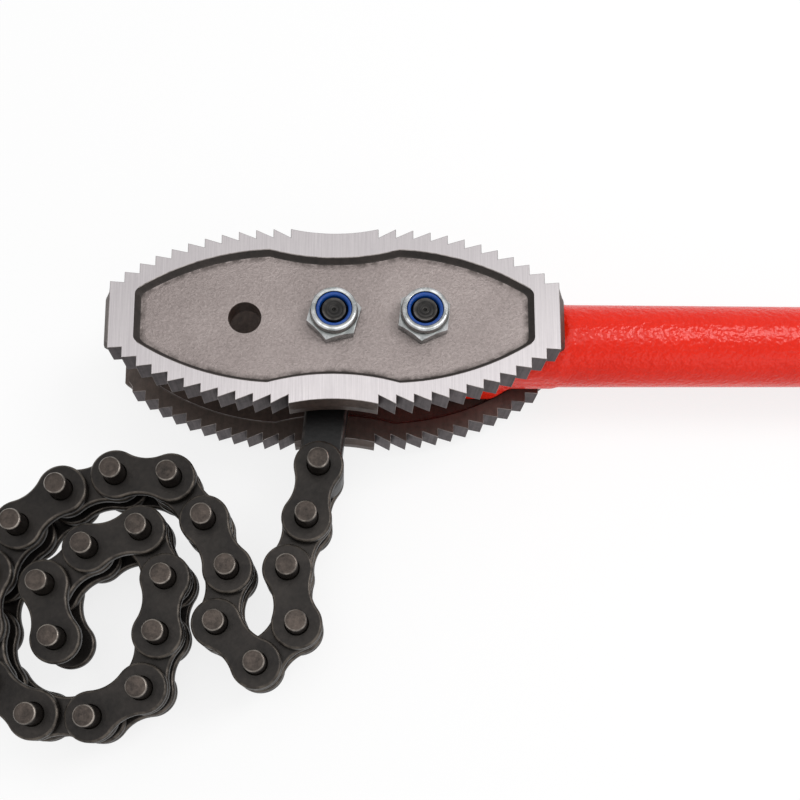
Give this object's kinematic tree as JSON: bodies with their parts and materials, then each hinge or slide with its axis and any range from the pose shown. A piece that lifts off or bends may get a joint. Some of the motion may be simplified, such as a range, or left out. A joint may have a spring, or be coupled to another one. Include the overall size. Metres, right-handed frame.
{
  "type": "chain pipe wrench",
  "caption": "Chain pipe wrench with a long round handle, two bolted double-ended toothed jaws and a pinned link chain that wraps and grips a pipe.",
  "frame": {"origin": "on the axis of the spare jaw hole, halfway between the two jaws", "axes": "+X along the handle to its end, +Y across the jaws away from the chain, +Z along the bolts towards the nuts"},
  "size_m": [0.9798, 0.2336, 0.0661],
  "materials": {
    "red_paint": "gloss red paint with orange peel over forged steel",
    "jaw_steel": "ground rim, blasted panel, dark forged inner face",
    "black_bolt": "black oxide",
    "zinc_nut": "bright zinc plate",
    "blue_nylon": "moulded nylon",
    "anchor_steel": "black forged steel",
    "chain_plate_steel": "dark oiled heat-treated steel",
    "chain_pin_steel": "dark steel with worn ends"
  },
  "bodies": {
    "wrench_body": {"handle": "red_paint", "upper_jaw": "jaw_steel", "lower_jaw": "jaw_steel", "centre_bolt": "black_bolt", "second_bolt": "black_bolt", "centre_nut": "zinc_nut", "second_nut": "zinc_nut", "centre_nylon_ring": "blue_nylon", "second_nylon_ring": "blue_nylon"},
    "anchor": {"anchor_link": "anchor_steel"},
    "link_1": {"outer_plates_1": "chain_plate_steel", "pins_1": "chain_pin_steel"},
    "link_2": {"inner_plates_1": "chain_plate_steel", "bushes_1": "chain_pin_steel"},
    "link_3": {"outer_plates_2": "chain_plate_steel", "pins_2": "chain_pin_steel"},
    "link_4": {"inner_plates_2": "chain_plate_steel", "bushes_2": "chain_pin_steel"},
    "link_5": {"outer_plates_3": "chain_plate_steel", "pins_3": "chain_pin_steel"},
    "link_6": {"inner_plates_3": "chain_plate_steel", "bushes_3": "chain_pin_steel"},
    "link_7": {"outer_plates_4": "chain_plate_steel", "pins_4": "chain_pin_steel"},
    "link_8": {"inner_plates_4": "chain_plate_steel", "bushes_4": "chain_pin_steel"},
    "link_9": {"outer_plates_5": "chain_plate_steel", "pins_5": "chain_pin_steel"},
    "link_10": {"inner_plates_5": "chain_plate_steel", "bushes_5": "chain_pin_steel"},
    "link_11": {"outer_plates_6": "chain_plate_steel", "pins_6": "chain_pin_steel"},
    "link_12": {"inner_plates_6": "chain_plate_steel", "bushes_6": "chain_pin_steel"},
    "link_13": {"outer_plates_7": "chain_plate_steel", "pins_7": "chain_pin_steel"},
    "link_14": {"inner_plates_7": "chain_plate_steel", "bushes_7": "chain_pin_steel"},
    "link_15": {"outer_plates_8": "chain_plate_steel", "pins_8": "chain_pin_steel"},
    "link_16": {"inner_plates_8": "chain_plate_steel", "bushes_8": "chain_pin_steel"},
    "link_17": {"outer_plates_9": "chain_plate_steel", "pins_9": "chain_pin_steel"},
    "link_18": {"inner_plates_9": "chain_plate_steel", "bushes_9": "chain_pin_steel"},
    "link_19": {"outer_plates_10": "chain_plate_steel", "pins_10": "chain_pin_steel"},
    "link_20": {"inner_plates_10": "chain_plate_steel", "bushes_10": "chain_pin_steel"},
    "link_21": {"outer_plates_11": "chain_plate_steel", "pins_11": "chain_pin_steel"},
    "link_22": {"inner_plates_11": "chain_plate_steel", "bushes_11": "chain_pin_steel"},
    "link_23": {"outer_plates_12": "chain_plate_steel", "pins_12": "chain_pin_steel"}
  },
  "joints": [
    {"name": "anchor_swing", "type": "hinge", "parent": "wrench_body", "child": "anchor", "pos_m": [0.0405, 0, 0], "axis": [0, 0, 1], "range_deg": [-10, 30]},
    {"name": "link_1_hinge", "type": "hinge", "parent": "anchor", "child": "link_1", "pos_m": [0.03376, -0.06415, 0], "axis": [0, 0, 1], "range_deg": [-5, 45]},
    {"name": "link_2_hinge", "type": "hinge", "parent": "link_1", "child": "link_2", "pos_m": [0.02848, -0.08899, 0], "axis": [0, 0, 1], "range_deg": [-5, 30]},
    {"name": "link_3_hinge", "type": "hinge", "parent": "link_2", "child": "link_3", "pos_m": [0.02021, -0.11301, 0], "axis": [0, 0, 1], "range_deg": [-33.35, 0]},
    {"name": "link_4_hinge", "type": "hinge", "parent": "link_3", "child": "link_4", "pos_m": [0.02462, -0.13802, 0], "axis": [0, 0, 1], "range_deg": [0, 63.25]},
    {"name": "link_5_hinge", "type": "hinge", "parent": "link_4", "child": "link_5", "pos_m": [0.00666, -0.15598, 0], "axis": [0, 0, 1], "range_deg": [0, 90]},
    {"name": "link_6_hinge", "type": "hinge", "parent": "link_5", "child": "link_6", "pos_m": [-0.0113, -0.13802, 0], "axis": [0, 0, 1], "range_deg": [0, 63.25]},
    {"name": "link_7_hinge", "type": "hinge", "parent": "link_6", "child": "link_7", "pos_m": [-0.00689, -0.11301, 0], "axis": [0, 0, 1], "range_deg": [-41.4, 0]},
    {"name": "link_8_hinge", "type": "hinge", "parent": "link_7", "child": "link_8", "pos_m": [-0.01803, -0.09018, 0], "axis": [0, 0, 1], "range_deg": [-14.95, 0]},
    {"name": "link_9_hinge", "type": "hinge", "parent": "link_8", "child": "link_9", "pos_m": [-0.03401, -0.07044, 0], "axis": [0, 0, 1], "range_deg": [-55.2, 0]},
    {"name": "link_10_hinge", "type": "hinge", "parent": "link_9", "child": "link_10", "pos_m": [-0.05938, -0.06911, 0], "axis": [0, 0, 1], "range_deg": [-23, 0]},
    {"name": "link_11_hinge", "type": "hinge", "parent": "link_10", "child": "link_11", "pos_m": [-0.08367, -0.07654, 0], "axis": [0, 0, 1], "range_deg": [-27.6, 0]},
    {"name": "link_12_hinge", "type": "hinge", "parent": "link_11", "child": "link_12", "pos_m": [-0.10284, -0.0932, 0], "axis": [0, 0, 1], "range_deg": [-21.85, 0]},
    {"name": "link_13_hinge", "type": "hinge", "parent": "link_12", "child": "link_13", "pos_m": [-0.11554, -0.1152, 0], "axis": [0, 0, 1], "range_deg": [-28.75, 0]},
    {"name": "link_14_hinge", "type": "hinge", "parent": "link_13", "child": "link_14", "pos_m": [-0.11775, -0.1405, 0], "axis": [0, 0, 1], "range_deg": [-19.55, 0]},
    {"name": "link_15_hinge", "type": "hinge", "parent": "link_14", "child": "link_15", "pos_m": [-0.11247, -0.16534, 0], "axis": [0, 0, 1], "range_deg": [-51.75, 0]},
    {"name": "link_16_hinge", "type": "hinge", "parent": "link_15", "child": "link_16", "pos_m": [-0.09117, -0.17918, 0], "axis": [0, 0, 1], "range_deg": [-35.65, 0]},
    {"name": "link_17_hinge", "type": "hinge", "parent": "link_16", "child": "link_17", "pos_m": [-0.06578, -0.18007, 0], "axis": [0, 0, 1], "range_deg": [-36.8, 0]},
    {"name": "link_18_hinge", "type": "hinge", "parent": "link_17", "child": "link_18", "pos_m": [-0.04378, -0.16737, 0], "axis": [0, 0, 1], "range_deg": [-52.9, 0]},
    {"name": "link_19_hinge", "type": "hinge", "parent": "link_18", "child": "link_19", "pos_m": [-0.03764, -0.14272, 0], "axis": [0, 0, 1], "range_deg": [-9.2, 0]},
    {"name": "link_20_hinge", "type": "hinge", "parent": "link_19", "child": "link_20", "pos_m": [-0.03499, -0.11746, 0], "axis": [0, 0, 1], "range_deg": [-39.1, 0]},
    {"name": "link_21_hinge", "type": "hinge", "parent": "link_20", "child": "link_21", "pos_m": [-0.04691, -0.09503, 0], "axis": [0, 0, 1], "range_deg": [-94.3, 0]},
    {"name": "link_22_hinge", "type": "hinge", "parent": "link_21", "child": "link_22", "pos_m": [-0.07078, -0.10372, 0], "axis": [0, 0, 1], "range_deg": [-25.3, 0]},
    {"name": "link_23_hinge", "type": "hinge", "parent": "link_22", "child": "link_23", "pos_m": [-0.08965, -0.12072, 0], "axis": [0, 0, 1], "range_deg": [-72.45, 0]}
  ],
  "couplings": [
    {"joint": "link_3_hinge", "follows": "link_5_hinge", "ratio": -0.32222},
    {"joint": "link_4_hinge", "follows": "link_5_hinge", "ratio": 0.61111},
    {"joint": "link_6_hinge", "follows": "link_5_hinge", "ratio": 0.61111},
    {"joint": "link_7_hinge", "follows": "link_5_hinge", "ratio": -0.4},
    {"joint": "link_8_hinge", "follows": "link_5_hinge", "ratio": -0.14444},
    {"joint": "link_9_hinge", "follows": "link_5_hinge", "ratio": -0.53333},
    {"joint": "link_10_hinge", "follows": "link_5_hinge", "ratio": -0.22222},
    {"joint": "link_11_hinge", "follows": "link_5_hinge", "ratio": -0.26667},
    {"joint": "link_12_hinge", "follows": "link_5_hinge", "ratio": -0.21111},
    {"joint": "link_13_hinge", "follows": "link_5_hinge", "ratio": -0.27778},
    {"joint": "link_14_hinge", "follows": "link_5_hinge", "ratio": -0.18889},
    {"joint": "link_15_hinge", "follows": "link_5_hinge", "ratio": -0.5},
    {"joint": "link_16_hinge", "follows": "link_5_hinge", "ratio": -0.34444},
    {"joint": "link_17_hinge", "follows": "link_5_hinge", "ratio": -0.35556},
    {"joint": "link_18_hinge", "follows": "link_5_hinge", "ratio": -0.51111},
    {"joint": "link_19_hinge", "follows": "link_5_hinge", "ratio": -0.088889},
    {"joint": "link_20_hinge", "follows": "link_5_hinge", "ratio": -0.37778},
    {"joint": "link_21_hinge", "follows": "link_5_hinge", "ratio": -0.91111},
    {"joint": "link_22_hinge", "follows": "link_5_hinge", "ratio": -0.24444},
    {"joint": "link_23_hinge", "follows": "link_5_hinge", "ratio": -0.7}
  ]
}
